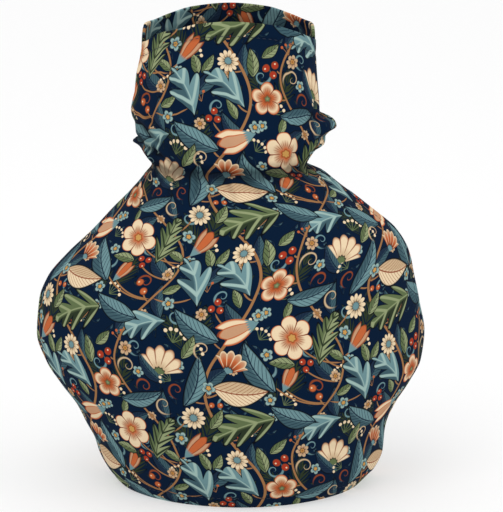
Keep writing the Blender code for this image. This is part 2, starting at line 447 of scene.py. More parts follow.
# Where each motif of one repeat stands, in mm from the repeat's corner, which way it grows, in
# degrees from the right, and its size. Later ones lie over earlier ones.
MOTIF_COLUMNS = ("style", "x", "y", "turn", "size")
GROUND = (
    ("sprig", 3.0, 4.0, 40.0, 3.4),
    ("sprig", 12.0, 9.0, 130.0, 3.2),
    ("green_sprig", 7.0, 17.0, 80.0, 3.2),
    ("sprig", 17.0, 20.0, 15.0, 3.0),
    ("green_sprig", 16.0, 1.0, 150.0, 2.8),
)
FILLERS = (
    ("shadow_fern", 6.0, 8.0, 70.0, 11.0),
    ("shadow_leaf", 25.0, 12.0, 130.0, 10.0),
    ("shadow_fern", 36.0, 30.0, 120.0, 10.0),
    ("shadow_leaf", 14.0, 33.0, 40.0, 10.0),
    ("shadow_leaf", 30.0, 45.0, 95.0, 9.0),
    ("spray", 2.0, 46.0, 50.0, 7.0),
    ("rust_curl", 20.0, 2.0, 0.0, 5.0),
    ("spray", 34.0, 6.0, 140.0, 6.5),
    ("berry_spray", 9.0, 24.0, 110.0, 6.0),
    ("teal_curl", 17.0, 22.0, 80.0, 5.0),
    ("teal_curl", 38.0, 38.0, 200.0, 5.5),
    ("star", 39.0, 14.0, 10.0, 3.0),
    ("aster", 22.0, 38.0, 40.0, 2.6),
)
MOTIFS = (
    ("dusky_bud", 48.2, 84.6, 60.0, 8.0),
    ("spray", 79.5, 51.0, 70.0, 8.0),
    ("leaflet", 41.9, 50.7, 40.0, 6.0),
    ("aster", 54.4, 46.6, 0.0, 3.8),
    ("berries", 58.2, 91.6, 20.0, 4.2),
    ("star", 79.9, 1.5, 30.0, 3.8),
    ("leaflet", 4.7, 42.2, 110.0, 6.0),
    ("rust_curl", 79.4, 27.6, 60.0, 5.0),
    ("spray", 35.5, 1.0, 50.0, 6.5),
    ("star", 38.7, 97.6, 0.0, 3.4),
    ("leaflet", 23.5, 21.0, 120.0, 5.5),
    ("star", 38.4, 75.1, 50.0, 3.3),
    ("leaflet", 11.3, 42.5, 60.0, 5.5),
    ("aster", 8.0, 13.2, 80.0, 3.2),
    ("leaflet", 77.5, 77.5, 30.0, 5.5),
    ("paired_berries", 12.1, 72.6, 0.0, 3.6),
    ("leaflet", 73.7, 94.9, 150.0, 5.5),
    ("star", 60.4, 35.4, 20.0, 3.2),
    ("leaflet", 49.3, 15.3, 75.0, 5.0),
    ("oak", 24.9, 59.7, 200.0, 17),
    ("fern", 71.0, 103.7, 65.0, 15),
    ("acanthus", 84.7, 81.1, 117.0, 15),
    ("acanthus", 19.7, 30.0, 141.0, 14),
    ("acanthus", 65.3, 56.9, 200.0, 13),
    ("willow", 0.8, 84.9, 71.0, 15),
    ("laurel", 5.3, 8.2, 145.0, 14),
    ("willow", 60.1, 23.2, 16.0, 13),
    ("laurel", 34.8, 91.8, 117.0, 15),
    ("pale_leaf", 24.6, 80.7, -4.0, 14),
    ("laurel", 49.6, 67.2, 156.0, 13),
    ("leaflet", 0.9, 101.4, 60.0, 7),
    ("leaflet", 45.8, 92.6, 173.0, 7),
    ("leaflet", 32.5, 43.9, 100.0, 7.5),
    ("leaflet", 11.8, 65.6, 59.0, 6.5),
    ("curl", 55.1, 37.8, 15.0, 6),
    ("curl", 8.2, 100.4, 57.0, 5.5),
    ("curl", 72.3, 19.4, 103.0, 6),
    ("bud", 26.2, 6.2, 200.0, 12),
    ("dusky_bud", 0.8, 49.1, 47.0, 10),
    ("feather", 71.3, 34.9, 70.0, 15),
    ("thistle", 19.0, 88.5, 64.0, 12),
    ("rose", 51.6, 1.2, 129.0, 11),
    ("blush", 41.4, 27.0, 200.0, 8.5),
    ("daisy", 21.1, 44.0, 67.0, 5.5),
    ("daisy", 0.7, 65.4, 18.0, 6.2),
    ("star", 35.3, 12.7, -8.0, 3.4),
    ("star", 9.1, 81.2, 19.0, 3.6),
    ("aster", 72.8, 84.6, 95.0, 3.2),
    ("star", 77.1, 69.8, 148.0, 3.5),
    ("berries", 42.9, 41.6, 174.0, 5),
    ("berries", 14.8, 16.9, 81.0, 4.4),
    ("paired_berries", 61.7, 77.4, 125.0, 5),
)

# The climbing stems: the middle of each one's wave, where the wave starts as an angle, how far it
# swings and half the stem's width, in mm. Every motif that needs a stalk has one to the nearest.
CLIMBER_COLUMNS = ("x", "phase", "swing", "width")
CLIMBERS = (
    (20.0, 0.0, 13.0, 0.75),
    (63.0, 2.3, 15.0, 0.6),
)
UNBRANCHED = ("curl", "rust_curl", "star", "aster", "leaflet", "spray")
MOTIF_FOOT = 0.6  # a motif's foot lies this share of its size behind its middle
STALK_DROPS = range(1, 26, 2)  # how far under a foot its stalk may start, in mm,
STALK_RISE = 9.0  # how far it does by choice,
STALK_RISE_WEIGHT = 0.4  # and what it counts against a stalk to differ from that
SHORTEST_STALK = 2.0


def style_group(style):
    """A shader group that draws one style of motif over the colour below it."""
    draw, looks = STYLES[style]
    tree = ShaderTree(bpy.data.node_groups.new(style, "ShaderNodeTree"))
    inputs = (
        ("Place", "NodeSocketVector"),
        ("Centre", "NodeSocketVector"),
        ("Along", "NodeSocketVector"),
        ("Across", "NodeSocketVector"),
        ("Sharpness", "NodeSocketFloat"),
        ("Below", "NodeSocketColor"),
    )
    for name, kind in inputs:
        tree.tree.interface.new_socket(name, in_out="INPUT", socket_type=kind)
    tree.tree.interface.new_socket("Colour", in_out="OUTPUT", socket_type="NodeSocketColor")
    given = tree.add("NodeGroupInput").socket.node
    sockets = list(given.outputs)[: len(inputs)]
    place, centre, along, across, sharpness, below = (Value(tree, socket) for socket in sockets)
    away = tree.vector("SUBTRACT", place, centre)
    away = tree.vector("WRAP", away, (0.5, 0.5, 0.5), (-0.5, -0.5, -0.5))
    along, across = tree.dot(away, along), tree.dot(away, across)
    mask, colour = draw(tree, along, across, sharpness, **looks)
    tree.add("NodeGroupOutput", None, [tree.mix(mask, below, colour)])
    return tree.tree


class FloralPrint:
    """A repeating print of climbing stems, flowers and leaves. Each motif is laid over those
    before it. Columns of the repeat are REPEAT_WIDTH apart, and each hangs half a repeat lower
    than the one before."""

    def __init__(self, tree, place):
        self.tree = tree
        self.spot = place
        self.nets = {share: self.net(share) for share in (1.0, FILL_SHARE, GROUND_SHARE)}
        self.styles = {}
        self.colour = NAVY

    def net(self, share):
        """Place counted in repeats that are this share of the whole one's size."""
        width, height = REPEAT_WIDTH * share, REPEAT_HEIGHT * share
        across = self.tree.dot(self.spot, (1 / width, 0, 0))
        up = self.tree.dot(self.spot, (-0.5 / width, 1 / height, 0))
        return self.tree.add("ShaderNodeCombineXYZ", None, [across, up, 0.0])

    def motif(self, style, x, y, turn, size, share=1.0):
        if style not in self.styles:
            self.styles[style] = style_group(style)
        width, height = REPEAT_WIDTH * share, REPEAT_HEIGHT * share
        cos, sin = math.cos(math.radians(turn)), math.sin(math.radians(turn))
        inputs = {
            "Place": self.nets[share],
            "Centre": (x / width, y / height - 0.5 * x / width, 0),
            "Along": ((cos * width + sin * height / 2) / size, sin * height / size, 0),
            "Across": ((-sin * width + cos * height / 2) / size, cos * height / size, 0),
            "Sharpness": size / EDGE_SOFTNESS,
            "Below": self.colour,
        }
        self.colour = self.tree.add("ShaderNodeGroup", {"node_tree": self.styles[style]}, inputs)

    def branch(self, start, foot):
        """A stalk from a point of a stem to the foot of a motif."""
        middle = ((start[0] + foot[0]) / 2, (start[1] + foot[1]) / 2)
        if foot[0] < start[0]:
            start, foot = foot, start
        turn = math.degrees(math.atan2(foot[1] - start[1], foot[0] - start[0]))
        self.motif("branch", *middle, turn, math.dist(start, foot) / 2)

    def climber(self, x, phase, swing, width):
        """A stem that climbs the whole height of a column in a wave."""
        tree = self.tree
        away = tree.vector("SUBTRACT", self.nets[1.0], (x / REPEAT_WIDTH, 0, 0))
        away = tree.vector("WRAP", away, (0.5, UNWRAPPED, 0.5), (-0.5, -UNWRAPPED, -0.5))
        across = tree.dot(away, (REPEAT_WIDTH, 0, 0))
        height = tree.dot(away, (math.pi, 2 * math.pi, 0)) + (phase + math.pi * x / REPEAT_WIDTH)
        slope = height.cos() * (swing * 2 * math.pi / REPEAT_HEIGHT)
        off = abs(across - height.sin() * swing) / (slope * slope + 1).math("SQRT")
        self.colour = tree.mix((width - off).scaled(1 / EDGE_SOFTNESS), self.colour, BARK)


def climber_point(climber, column, y):
    """A climbing stem's place at one height, in the column that many repeats to the right."""
    phase = 2 * math.pi * (y - column * REPEAT_HEIGHT / 2) / REPEAT_HEIGHT + climber["phase"]
    return climber["x"] + column * REPEAT_WIDTH + climber["swing"] * math.sin(phase), y


def nearest_climber(x, y):
    """The point of a climbing stem from which a stalk would grow up to a motif's foot."""
    points = []
    for climber in named_rows(CLIMBERS, CLIMBER_COLUMNS):
        for column in (-1, 0, 1):
            points += [climber_point(climber, column, y - drop) for drop in STALK_DROPS]

    def cost(point):
        return math.dist(point, (x, y)) + STALK_RISE_WEIGHT * abs(y - point[1] - STALK_RISE)

    return min(points, key=cost)


def lay_print(tree, place):
    """The whole print as one colour, for a place on the cloth in mm."""
    cloth_print = FloralPrint(tree, place)
    for row in GROUND:
        cloth_print.motif(*row, share=GROUND_SHARE)
    for row in FILLERS:
        cloth_print.motif(*row, share=FILL_SHARE)
    for row in CLIMBERS:
        cloth_print.climber(*row)
    for motif in named_rows(MOTIFS, MOTIF_COLUMNS):
        if motif["style"] not in UNBRANCHED:
            turn, back = math.radians(motif["turn"]), MOTIF_FOOT * motif["size"]
            foot = (motif["x"] - back * math.cos(turn), motif["y"] - back * math.sin(turn))
            start = nearest_climber(*foot)
            if math.dist(start, foot) > SHORTEST_STALK:
                cloth_print.branch(start, foot)
    for row in MOTIFS:
        cloth_print.motif(*row)
    return cloth_print.colour


# --- The cloth ------------------------------------------------------------------------------

FACING = {"front": -1, "back": 1}  # which way along y each panel faces
FULLEST_HEIGHT = 78.0  # where the body is widest
NECK_HEIGHT = 160.5  # where the elastic draws the cloth in
RIM_SCALE_FROM = 196.0  # above this height the rows spread to the uneven rim,
RIM_NOMINAL = 237.5  # which they would reach here if it were level
COLUMNS = 176

# Rows of the cloth's grid: from one height to the next, and how many.
ROW_ZONES = (
    (0.0, 28.0, 26),
    (28.0, 138.0, 82),
    (138.0, RIM_SCALE_FROM, 82),
    (RIM_SCALE_FROM, RIM_NOMINAL, 36),
)

BACK_PRINT_SHIFT = (37.0, 29.0)  # the back is cut from another stretch of the printed cloth, in mm
RIM_DROP = 0.6  # the rounded edge stands this much above the last row
EDGE_STEPS = 3  # points in the half round of an edge between the two faces
EDGE_BULGE = 0.4  # how far that half round stands out, as a share of the cloth's thickness
OPEN_GAPE = 3.0  # an edge that gapes this far is a turned hem, and one that doesn't gape is sewn
SEAM_ANGLE = 90.0  # from the middle of a panel, in degrees

# How far the outer face reaches at each height: to the left and right seams, to the front and to
# the back, then how far each panel's edge stands off the seam plane where the sides are open, and
# how pointed the section is at its sides (0 is an ellipse, 1 a lens).
SECTION_COLUMNS = ("height", "left", "right", "front", "back", "left_gape", "right_gape", "pinch")
SECTIONS = (
    (0.0, 56.5, 66.0, 59.5, 59.0, 0.0, 0.0, 0.10),
    (8.0, 63.5, 73.5, 65.5, 64.5, 0.0, 0.0, 0.12),
    (15.0, 67.0, 76.5, 69.5, 68.0, 0.0, 0.0, 0.15),
    (22.0, 69.0, 77.2, 71.5, 70.5, 0.0, 0.0, 0.18),
    (29.0, 72.0, 77.8, 73.0, 72.0, 3.5, 2.5, 0.22),
    (40.0, 76.5, 82.0, 75.0, 74.5, 9.0, 6.5, 0.28),
    (52.0, 84.5, 89.0, 77.0, 76.5, 12.5, 9.0, 0.32),
    (64.0, 91.5, 94.5, 77.8, 77.6, 14.5, 10.5, 0.34),
    (FULLEST_HEIGHT, 96.0, 96.0, 78.0, 78.0, 15.0, 11.0, 0.35),
    (90.0, 95.0, 93.5, 77.5, 77.5, 15.0, 11.0, 0.34),
    (102.0, 90.5, 91.0, 75.0, 75.5, 14.5, 10.5, 0.32),
    (114.0, 80.5, 88.5, 71.5, 72.0, 13.5, 10.0, 0.28),
    (126.0, 68.0, 82.0, 66.0, 66.5, 11.5, 9.0, 0.22),
    (138.0, 57.5, 69.0, 58.5, 59.0, 8.0, 6.5, 0.15),
    (148.0, 48.5, 56.5, 49.0, 49.5, 3.0, 2.5, 0.08),
    (155.0, 43.5, 48.0, 41.0, 41.0, 0.0, 0.0, 0.04),
    (NECK_HEIGHT, 39.5, 38.0, 35.5, 35.5, 0.0, 0.0, 0.0),
    (167.0, 43.5, 41.0, 40.0, 39.5, 0.0, 0.0, 0.0),
    (175.0, 45.5, 43.5, 40.0, 39.5, 0.0, 0.0, 0.0),
    (188.0, 48.0, 44.0, 36.5, 36.0, 0.0, 0.0, 0.0),
    (204.0, 47.0, 43.0, 34.0, 33.5, 0.0, 0.0, 0.0),
    (220.0, 44.0, 42.0, 31.5, 31.5, 0.0, 0.0, 0.0),
    (RIM_NOMINAL, 43.0, 41.5, 30.0, 30.0, 0.0, 0.0, 0.0),
)

# The uneven rim: angle from the middle of the panel (positive towards the right seam), height.
RIM_COLUMNS = ("angle", "height")
RIMS = {
    "front": (
        (-90.0, 221.5),
        (-72.0, 223.0),
        (-52.0, 228.0),
        (-34.0, 231.0),
        (-20.0, 233.6),
        (0.0, 234.8),
        (28.0, 233.0),
        (52.0, 228.6),
        (74.0, 224.2),
        (90.0, 222.6),
    ),
    "back": (
        (-90.0, 221.5),
        (-78.0, 230.0),
        (-61.0, 230.8),
        (-46.0, 233.0),
        (-26.0, 236.0),
        (0.0, 237.4),
        (27.0, 236.0),
        (46.0, 233.0),
        (62.0, 230.8),
        (79.0, 229.8),
        (90.0, 222.6),
    ),
}

# Ridges that the gathered neck puts in the cloth: angle, half width in degrees, height, and how
# far each runs above and below the neck.
GATHER_COLUMNS = ("angle", "width", "height", "above", "below")
GATHERS = {
    "front": (
        (-68.0, 7.0, 3.2, 17.0, 14.0),
        (-48.0, 6.0, 2.8, 13.0, 25.0),
        (-31.0, 5.5, 4.0, 22.0, 16.0),
        (-12.0, 6.0, 2.6, 12.0, 28.0),
        (6.0, 5.5, 4.2, 25.0, 18.0),
        (23.0, 6.0, 2.7, 13.0, 30.0),
        (41.0, 5.5, 4.1, 23.0, 15.0),
        (60.0, 6.5, 3.1, 17.0, 24.0),
    ),
    "back": (
        (-65.0, 6.5, 3.0, 15.0, 22.0),
        (-45.0, 5.5, 4.0, 23.0, 15.0),
        (-26.0, 6.0, 2.7, 14.0, 29.0),
        (-8.0, 5.5, 3.9, 21.0, 19.0),
        (10.0, 6.0, 2.6, 12.0, 27.0),
        (29.0, 5.5, 4.0, 24.0, 16.0),
        (48.0, 6.0, 3.0, 15.0, 25.0),
        (67.0, 7.0, 3.3, 18.0, 14.0),
    ),
}

GATHER_AT_ELASTIC = 0.35  # share of a ridge's height that is left where the elastic holds the cloth
GATHER_RISE = 2.6  # how fast a ridge rises away from the elastic,
GATHER_FALL = 2.2  # and how fast it dies out
GATHER_VALLEY = 0.45  # share of a ridge's height by which the cloth round about sinks
GATHER_SPREAD = 2.2  # how much wider than the ridge that sunken stretch is
GATHER_SEAM_MARGIN = 13.0  # degrees from a seam within which the gathers fade out

# The fine gathers between them. Pairs are the ranges from which each gather draws its own value.
FINE_SPAN = 168.0  # degrees of a panel that they fill
FINE_PLACE = (0.2, 0.8)  # where in its share of the span each stands
FINE_ABOVE = (7, 15)  # how far each runs above the neck, in mm,
FINE_BELOW = (8, 18)  # and below it
FINE_LEAN = (-0.35, 0.35)  # how it leans, in degrees a mm
FINE_WIDTH = (1.5, 2.6)  # in degrees
FINE_SHARE = (0.5, 1.0)  # share of the height in the settings
FINE_FADE = 2.2  # they fade away over this many of their runs
FINE_VALLEY = 0.6  # this and the next two are as for the main gathers
FINE_SPREAD = 1.9
FINE_SEAM_MARGIN = 5.0
BACK_SEED = 50  # added to the seed for the back panel

# Over an open side the front panel's shoulder stands higher than the back panel's, and the back
# panel is tucked in a little behind it. Both are shares of how far the edges gape.
SHOULDER_LIFT = 0.29
SHOULDER_FROM = FULLEST_HEIGHT  # the lift begins at this height,
SHOULDER_RUN = 20.0  # and is full this much above it
BACK_TUCK = 0.1

# Folds of loose cloth that stand out at the side seams, just above the neck.
FOLD_COLUMNS = ("height", "reach")
FOLDS = {
    "right": (
        (163.5, 0.0), (165.5, 0.1), (168.0, 0.9), (170.7, 4.2), (172.6, 4.1), (174.5, 3.7),
        (176.8, 5.8), (179.0, 8.9), (180.8, 8.4), (182.6, 7.1), (184.0, 3.9), (185.6, 0.3),
        (187.0, 0.0), (200.0, 0.0),
    ),
    "left": (
        (163.0, 0.0), (166.2, 0.1), (169.2, 0.8), (170.8, 1.9), (172.0, 3.7), (172.9, 3.2),
        (174.4, 0.6), (176.4, 1.2), (179.0, 0.8), (182.0, 0.3), (184.5, 1.0), (188.0, 1.4),
        (192.0, 0.9), (197.0, 0.0),
    ),
}
FOLD_WIDTHS = {"right": 17.0, "left": 13.0}  # in degrees from the seam
FOLD_PRESS = 8.0  # how many times thinner the cloth gets towards the ridge of a fold,
FOLD_TIGHT = 3.5  # which it reaches where the fold stands out this far, in mm

# Soft creases: the panel, where each starts and ends as angle and height, its half width, and how
# far it stands out, or in if negative, all but the angles in mm.
CREASE_COLUMNS = ("side", "angle", "height", "to_angle", "to_height", "width", "push")
CREASES = (
    ("front", 79.0, 186.0, 60.0, 168.0, 2.0, 0.9),
    ("front", 84.0, 178.0, 66.0, 163.0, 1.6, -1.0),
    ("front", 72.0, 190.0, 52.0, 176.0, 1.8, -0.7),
    ("front", -76.0, 184.0, -52.0, 176.0, 1.5, -1.4),
    ("front", -74.0, 179.0, -56.0, 171.5, 1.5, 0.7),
    ("front", -74.0, 174.0, -48.0, 166.0, 1.5, -1.6),
    ("front", -68.0, 190.0, -44.0, 180.0, 1.7, -1.0),
    ("front", -58.0, 171.0, -38.0, 162.0, 1.5, -1.0),
    ("front", -70.0, 152.0, -52.0, 136.0, 2.6, -0.8),
    ("front", 66.0, 152.0, 48.0, 132.0, 2.8, -0.8),
    ("front", 40.0, 148.0, 34.0, 122.0, 2.6, 0.6),
    ("front", -30.0, 150.0, -24.0, 126.0, 2.4, 0.5),
    ("back", 80.0, 184.0, 62.0, 168.0, 2.0, 0.9),
    ("back", -80.0, 182.0, -60.0, 166.0, 2.0, -0.9),
    ("back", 64.0, 150.0, 46.0, 130.0, 2.8, -0.8),
    ("back", -62.0, 150.0, -48.0, 134.0, 2.6, -0.7),
    ("back", 10.0, 148.0, 14.0, 120.0, 2.6, 0.5),
)

CREASE_SCALE = 0.8  # mm of cloth a degree at the neck, near enough
CREASE_END = 3.0  # how far a crease runs out past its ends, in mm,
CREASE_AT_ENDS = 0.45  # and the share of its push that is left there

# What a sewn seam does beside it, and within how many mm that fades: the cloth dips by some mm,
# and it loses a share of its thickness and of its light.
SEAM_DIP, SEAM_DIP_RUN = 0.9, 1.3
SEAM_THINNING, SEAM_THINNING_RUN = 0.35, 2.5
SEAM_SHADE, SEAM_SHADE_RUN = 0.35, 1.0

# What a turned edge does: how far the line of stitches sinks and how wide, and how far the cloth
# swells between it and the edge and over which share of the hem, all but the shares in mm.
STITCH_DENT, STITCH_DENT_WIDTH = 0.34, 0.9
HEM_SWELL, HEM_SWELL_SHARE = 0.16, 0.6
RIM_SWELL, RIM_SWELL_SHARE = 0.2, 0.6
SIDE_SWELL, SIDE_SWELL_SHARE = 0.5, 0.55
RIPPLE, RIPPLE_SPREAD = 0.1, 2.5  # small puckers along the stitches of the hem and the rim

# Light that is lost in hollows: the cloth is smoothed in rounds, and each mm that it lies under
# the smoothed one takes a share of its light.
HOLLOW_COLUMNS = ("rounds", "share")
HOLLOWS = (
    (10, 0.9),
    (70, 0.16),
)
HOLLOW_LIMITS = (-0.08, 0.3)  # the most that a ridge gains, and that a hollow loses
HOLLOW_MARGIN = 6  # mm from the hem and the rim within which no hollow counts
INNER_LIGHT = 0.8  # light on the inner face at its edges,
INNER_LIGHT_LOSS = 0.3  # and how much less there is deep inside,
INNER_LIGHT_RUN = 20.0  # which is this many mm from the edge
DARKEST = 0.3  # the share of its light that the outer face keeps everywhere

# Where both panels are crumpled beside the left seam above the neck: angle and its spread in
# degrees, height and its spread in mm, and the share of the light that is lost there.
CRUMPLE = (-68.0, 19.0, 171.0, 10.0)
CRUMPLE_SHADE = 0.5

STITCHED_HEIGHTS = (31.0, 146.0)  # the stretch of the side openings that is stitched
STITCH_LIFT = 0.02  # how far the middle of a thread stands off the cloth, in mm
STITCH_SHARE = 0.72  # share of a step that its stitch fills
THREAD_THICKNESS = 0.0003  # in m


def level_slopes(places, values):
    """Slope at each row of a table, zero where its values turn back, so that the curve through
    them never swings past a row."""
    rises = np.diff(values) / np.diff(places)
    below, above = rises[:-1], rises[1:]
    both = np.where(below * above > 0, below + above, 1.0)
    inner = np.where(below * above > 0, 2 * below * above / both, 0.0)
    return np.concatenate((rises[:1], inner, rises[-1:]))


def curve_through(table, columns, name, at):
    """A table's named column at places along its first column, on a smooth curve."""
    places = np.array([row[0] for row in table])
    values = np.array([row[columns.index(name)] for row in table])
    slopes = level_slopes(places, values)
    lower = np.clip(np.searchsorted(places, at, side="right") - 1, 0, len(places) - 2)
    upper = lower + 1
    span = places[upper] - places[lower]
    t = np.clip((at - places[lower]) / span, 0, 1)
    past = at - np.clip(at, places[0], places[-1])
    return (
        (1 + 2 * t) * (1 - t) ** 2 * values[lower]
        + t * (1 - t) ** 2 * span * slopes[lower]
        + t * t * (3 - 2 * t) * values[upper]
        - t * t * (1 - t) * span * slopes[upper]
        + past * np.where(past < 0, slopes[0], slopes[-1])
    )


def section_at(name, height):
    """One measure of the cross section at each height."""
    return curve_through(SECTIONS, SECTION_COLUMNS, name, height)


def bell(distance, width):
    """1 at no distance, and less and less over a few widths."""
    return np.exp(-0.5 * (distance / width) ** 2)


def gather_profile(away):
    """How high a gather's ridge stands, as a share of its height, against the distance from the
    neck as a share of its run: low under the elastic, full a little away from it, then gone."""
    return (GATHER_AT_ELASTIC + GATHER_RISE * away) * np.exp(-GATHER_FALL * away * away)


def gather_swell(side, angle, height):
    """Outward push of a panel's gathers, and inward in the valleys between them."""
    push = np.zeros_like(angle)
    for gather in named_rows(GATHERS[side], GATHER_COLUMNS):
        run = np.where(height > NECK_HEIGHT, gather["above"], gather["below"])
        along = gather_profile(np.abs(height - NECK_HEIGHT) / run)
        aside = angle - gather["angle"]
        valley = GATHER_VALLEY * bell(aside, GATHER_SPREAD * gather["width"])
        push += gather["height"] * along * (bell(aside, gather["width"]) - valley)
    return push * (1 - bell(SEAM_ANGLE - np.abs(angle), GATHER_SEAM_MARGIN))


def fold_swell(angle, height):
    """Outward push of the loose folds at the side seams."""
    push = np.zeros_like(angle)
    for edge, seam in (("left", -SEAM_ANGLE), ("right", SEAM_ANGLE)):
        reach = curve_through(FOLDS[edge], FOLD_COLUMNS, "reach", height)
        push += np.maximum(reach, 0.0) * bell(angle - seam, FOLD_WIDTHS[edge])
    return push


def fold_tightness(angle, height):
    """How tightly the cloth is pressed together in a loose fold, from 0 to 1."""
    return np.clip(fold_swell(angle, height) / FOLD_TIGHT, 0.0, 1.0)


def reach_at(side, edge, height):
    """How far a panel's left or right edge stands out."""
    gape = np.maximum(0.0, section_at(f"{edge}_gape", height))
    if side == "back":
        return section_at(edge, height) - BACK_TUCK * gape
    lift = SHOULDER_LIFT * gape * np.clip((height - SHOULDER_FROM) / SHOULDER_RUN, 0.0, 1.0)
    return section_at(edge, height - lift)


def cloth_points(side, angle, height):
    """Points of a panel's outer face, in mm. Angles are from the middle of the panel, and are
    positive towards the right seam, as seen from the front."""
    turn = np.radians(angle)
    left, right = reach_at(side, "left", height), reach_at(side, "right", height)
    middle = (right - left) / 2
    half_width = (right + left) / 2
    towards_right = (1 + np.sin(turn)) / 2
    left_gape, right_gape = section_at("left_gape", height), section_at("right_gape", height)
    gape = np.maximum(0.0, left_gape * (1 - towards_right) + right_gape * towards_right)
    roundness = np.cos(turn)
    pinch = section_at("pinch", height)
    fullness = roundness * (1 - pinch + pinch * np.abs(roundness))
    depth = gape + (section_at(side, height) - gape) * fullness
    swell = gather_swell(side, angle, height) + fold_swell(angle, height)
    x = middle + (half_width + swell) * np.sin(turn)
    y = FACING[side] * np.maximum(depth + swell * roundness, 0.0)
    return np.stack((x, y, height), axis=-1)


def hold_in_place(points, side):
    """Moves points that cross the plane of the seams, or the floor, back to it."""
    points[..., 1] = FACING[side] * np.maximum(FACING[side] * points[..., 1], 0.0)
    points[..., 2] = np.maximum(points[..., 2], 0.0)


def opening_gape(angle, height):
    """How far a panel's side edge stands off the seam plane, in mm."""
    left_gape, right_gape = section_at("left_gape", height), section_at("right_gape", height)
    return np.maximum(0.0, np.where(angle > 0, right_gape, left_gape))


def row_heights(side, angle):
    """Heights of a panel's rows along one column, spread up to the uneven rim."""
    heights = [ROW_ZONES[0][0]]
    for lowest, highest, rows in ROW_ZONES:
        heights += [lowest + (highest - lowest) * (row + 1) / rows for row in range(rows)]
    nominal = np.array(heights)[:, None]
    rim = curve_through(RIMS[side], RIM_COLUMNS, "height", angle)[None, :] - RIM_DROP
    stretch = (rim - RIM_SCALE_FROM) / (RIM_NOMINAL - RIM_SCALE_FROM)
    spread = RIM_SCALE_FROM + (nominal - RIM_SCALE_FROM) * stretch
    return np.where(nominal > RIM_SCALE_FROM, spread, nominal)


def lengths_along(points, axis):
    """How far each point lies along its row or column, in mm from the first."""
    steps = np.linalg.norm(np.diff(points, axis=axis), axis=-1)
    start = np.zeros_like(np.take(steps, [0], axis))
    return np.concatenate((start, np.cumsum(steps, axis=axis)), axis=axis)


def line_where(distances, wanted, points, normals):
    """Along each row of the arrays, where the distance equals wanted: the points, and the
    cloth's normals there. A distance may grow or fall along its row."""
    line, out = [], []
    for distance, row_points, row_normals in zip(distances, points, normals):
        order = np.argsort(distance)
        line.append([np.interp(wanted, distance[order], part) for part in row_points[order].T])
        out.append([np.interp(wanted, distance[order], part) for part in row_normals[order].T])
    return np.array(line), np.array(out)


def normals_of(points):
    """Which way the outer face points at each point of the grid."""
    across = np.gradient(points, axis=1)
    up = np.gradient(points, axis=0)
    normals = np.cross(across, up)
    return normals / np.linalg.norm(normals, axis=-1, keepdims=True)


def slow_waves(across, up):
    """Shallow dips and rises of the cloth, between -1 and 1. The waves' lengths, in mm a radian,
    don't match, so that no dip comes back."""
    crossed = np.sin(across / 13.0 + 0.4) * np.sin(up / 17.0 + 1.1)
    return 0.5 * (crossed + 0.7 * np.sin(across / 7.3 - up / 11.0))


def puckers(across):
    """Short waves along a row of stitches, between -1 and 1, of slightly changing length."""
    return np.sin(across / 2.3 + 0.6 * np.sin(across / 9.0))


